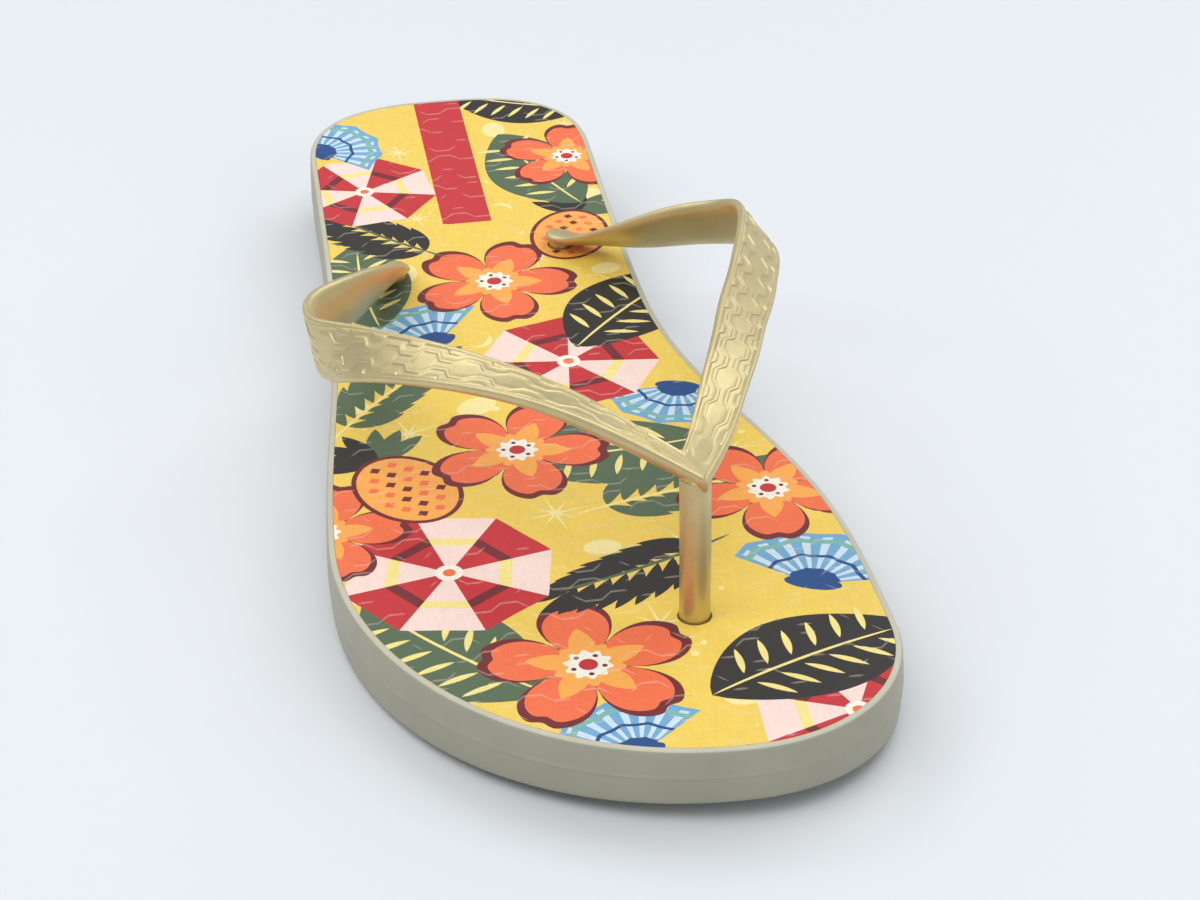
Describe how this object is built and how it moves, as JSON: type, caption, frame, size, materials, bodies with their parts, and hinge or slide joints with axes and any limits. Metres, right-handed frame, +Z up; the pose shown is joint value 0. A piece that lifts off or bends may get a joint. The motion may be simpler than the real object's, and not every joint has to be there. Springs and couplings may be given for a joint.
{
  "type": "flip-flop",
  "caption": "Right flip-flop with a moulded gold strap, a greige foam sole and a printed insole sheet in bright tropical motifs.",
  "frame": {"origin": "on the floor under the middle of the sole's length, at the middle line of the ball", "axes": "+Z up, toes towards -Y, heel towards +Y, big-toe side towards +X"},
  "size_m": [0.0955, 0.252, 0.0478],
  "materials": {
    "sole_foam": "satin",
    "insole_print": "fine woven grain",
    "strap_gold": "pearl metallic"
  },
  "bodies": {
    "root": {"sole": "sole_foam", "insole": "insole_print", "strap": "strap_gold"}
  },
  "joints": []
}
